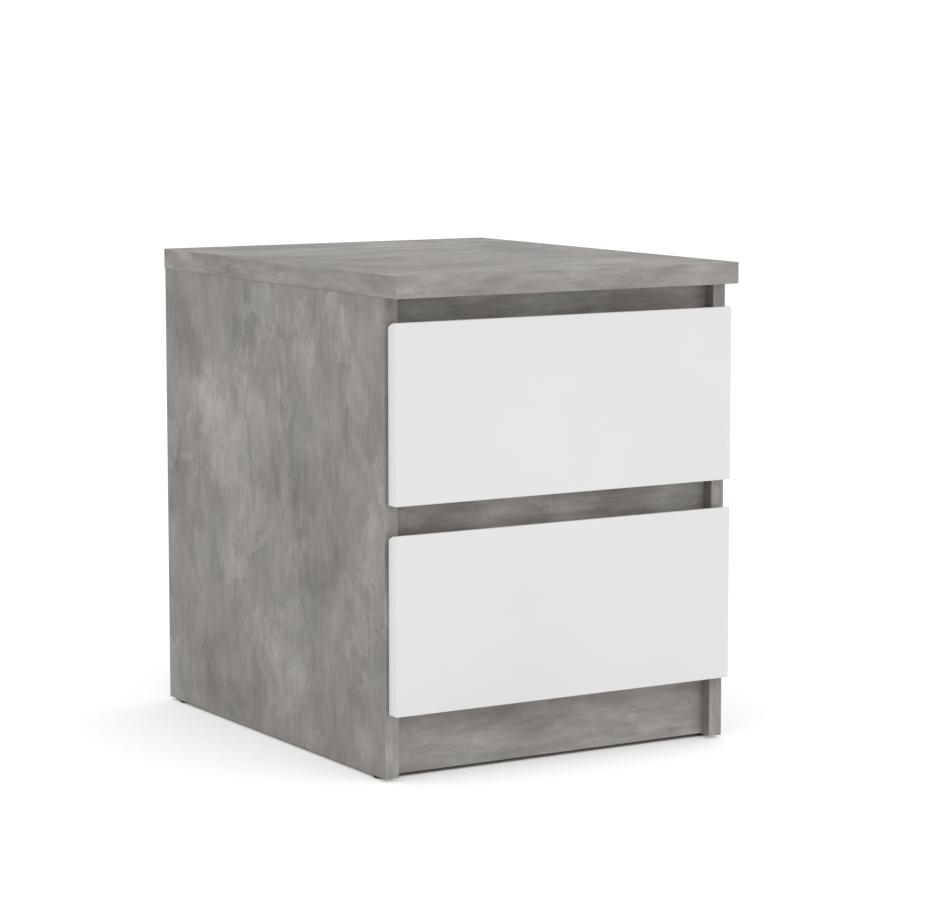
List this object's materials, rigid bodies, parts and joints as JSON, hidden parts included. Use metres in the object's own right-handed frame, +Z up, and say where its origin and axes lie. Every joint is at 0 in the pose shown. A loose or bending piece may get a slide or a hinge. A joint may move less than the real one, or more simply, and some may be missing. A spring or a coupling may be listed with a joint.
{
  "type": "two-drawer nightstand",
  "caption": "Narrow nightstand with concrete-look sides and top, and plain white overlay drawer fronts opened by a bevelled upper edge, on roller runners.",
  "frame": {"origin": "centre of the footprint, on the floor", "axes": "+Z up, -Y out of the drawer fronts, +X to the right seen from the front"},
  "size_m": [0.403, 0.503, 0.497],
  "materials": {
    "concrete_board": "matt concrete-grey melamine with soft streaks",
    "white_front": "white lacquered board, satin to semi-gloss",
    "drawer_board": "white melamine, matt",
    "drawer_sheet": "white-faced thin fibreboard, matt",
    "back_board": "thin fibreboard, grey printed face",
    "runner_steel": "white epoxy-coated steel",
    "roller_plastic": "off-white nylon",
    "fitting_zinc": "zinc die-cast, bare",
    "bolt_steel": "bright zinc-plated steel",
    "dowel_wood": "fluted beech, bare",
    "glide_plastic": "black plastic",
    "bumper_plastic": "translucent soft plastic"
  },
  "bodies": {
    "cabinet": {"top_panel": "concrete_board", "left_side_panel": "concrete_board", "right_side_panel": "concrete_board", "top_front_rail": "concrete_board", "middle_front_rail": "concrete_board", "plinth": "concrete_board", "rear_rail": "concrete_board", "bottom_panel": "concrete_board", "back_panel": "back_board", "cabinet_cam_nuts": "fitting_zinc", "cabinet_cam_bolts": "bolt_steel", "cabinet_runner_screws": "bolt_steel", "back_panel_nails": "bolt_steel", "cabinet_dowels": "dowel_wood", "floor_glides": "glide_plastic", "upper_left_cabinet_runner": "runner_steel", "upper_right_cabinet_runner": "runner_steel", "lower_left_cabinet_runner": "runner_steel", "lower_right_cabinet_runner": "runner_steel"},
    "upper_drawer": {"upper_drawer_left_runner": "runner_steel", "upper_drawer_left_side": "drawer_board", "upper_drawer_right_runner": "runner_steel", "upper_drawer_right_side": "drawer_board", "upper_drawer_front": "white_front", "upper_drawer_back": "drawer_board", "upper_drawer_bottom": "drawer_sheet", "upper_drawer_cam_nuts": "fitting_zinc", "upper_drawer_cam_bolts": "bolt_steel", "upper_drawer_screws": "bolt_steel", "upper_drawer_dowels": "dowel_wood", "upper_drawer_pads": "bumper_plastic"},
    "upper_left_cabinet_wheel": {"upper_left_cabinet_roller": "roller_plastic"},
    "upper_left_drawer_wheel": {"upper_drawer_left_roller": "roller_plastic"},
    "upper_right_cabinet_wheel": {"upper_right_cabinet_roller": "roller_plastic"},
    "upper_right_drawer_wheel": {"upper_drawer_right_roller": "roller_plastic"},
    "lower_drawer": {"lower_drawer_left_runner": "runner_steel", "lower_drawer_left_side": "drawer_board", "lower_drawer_right_runner": "runner_steel", "lower_drawer_right_side": "drawer_board", "lower_drawer_front": "white_front", "lower_drawer_back": "drawer_board", "lower_drawer_bottom": "drawer_sheet", "lower_drawer_cam_nuts": "fitting_zinc", "lower_drawer_cam_bolts": "bolt_steel", "lower_drawer_screws": "bolt_steel", "lower_drawer_dowels": "dowel_wood", "lower_drawer_pads": "bumper_plastic"},
    "lower_left_cabinet_wheel": {"lower_left_cabinet_roller": "roller_plastic"},
    "lower_left_drawer_wheel": {"lower_drawer_left_roller": "roller_plastic"},
    "lower_right_cabinet_wheel": {"lower_right_cabinet_roller": "roller_plastic"},
    "lower_right_drawer_wheel": {"lower_drawer_right_roller": "roller_plastic"}
  },
  "joints": [
    {"name": "upper_drawer_slide", "type": "slide", "parent": "cabinet", "child": "upper_drawer", "axis": [0, -1, 0], "range_m": [0, 0.3]},
    {"name": "upper_left_cabinet_roller_spin", "type": "hinge", "parent": "cabinet", "child": "upper_left_cabinet_wheel", "pos_m": [-0.1803, -0.213, 0.30025], "axis": [1, 0, 0], "continuous": true},
    {"name": "upper_left_drawer_roller_spin", "type": "hinge", "parent": "upper_drawer", "child": "upper_left_drawer_wheel", "pos_m": [-0.1795, 0.158, 0.29955], "axis": [1, 0, 0], "continuous": true},
    {"name": "upper_right_cabinet_roller_spin", "type": "hinge", "parent": "cabinet", "child": "upper_right_cabinet_wheel", "pos_m": [0.1803, -0.213, 0.30025], "axis": [1, 0, 0], "continuous": true},
    {"name": "upper_right_drawer_roller_spin", "type": "hinge", "parent": "upper_drawer", "child": "upper_right_drawer_wheel", "pos_m": [0.1795, 0.158, 0.29955], "axis": [1, 0, 0], "continuous": true},
    {"name": "lower_drawer_slide", "type": "slide", "parent": "cabinet", "child": "lower_drawer", "axis": [0, -1, 0], "range_m": [0, 0.3]},
    {"name": "lower_left_cabinet_roller_spin", "type": "hinge", "parent": "cabinet", "child": "lower_left_cabinet_wheel", "pos_m": [-0.1803, -0.213, 0.09375], "axis": [1, 0, 0], "continuous": true},
    {"name": "lower_left_drawer_roller_spin", "type": "hinge", "parent": "lower_drawer", "child": "lower_left_drawer_wheel", "pos_m": [-0.1795, 0.158, 0.09305], "axis": [1, 0, 0], "continuous": true},
    {"name": "lower_right_cabinet_roller_spin", "type": "hinge", "parent": "cabinet", "child": "lower_right_cabinet_wheel", "pos_m": [0.1803, -0.213, 0.09375], "axis": [1, 0, 0], "continuous": true},
    {"name": "lower_right_drawer_roller_spin", "type": "hinge", "parent": "lower_drawer", "child": "lower_right_drawer_wheel", "pos_m": [0.1795, 0.158, 0.09305], "axis": [1, 0, 0], "continuous": true}
  ],
  "couplings": [
    {"joint": "upper_left_cabinet_roller_spin", "follows": "upper_drawer_slide", "rad_per_m": 111.11},
    {"joint": "upper_left_drawer_roller_spin", "follows": "upper_drawer_slide", "rad_per_m": 111.11},
    {"joint": "upper_right_cabinet_roller_spin", "follows": "upper_drawer_slide", "rad_per_m": 111.11},
    {"joint": "upper_right_drawer_roller_spin", "follows": "upper_drawer_slide", "rad_per_m": 111.11},
    {"joint": "lower_left_cabinet_roller_spin", "follows": "lower_drawer_slide", "rad_per_m": 111.11},
    {"joint": "lower_left_drawer_roller_spin", "follows": "lower_drawer_slide", "rad_per_m": 111.11},
    {"joint": "lower_right_cabinet_roller_spin", "follows": "lower_drawer_slide", "rad_per_m": 111.11},
    {"joint": "lower_right_drawer_roller_spin", "follows": "lower_drawer_slide", "rad_per_m": 111.11}
  ]
}
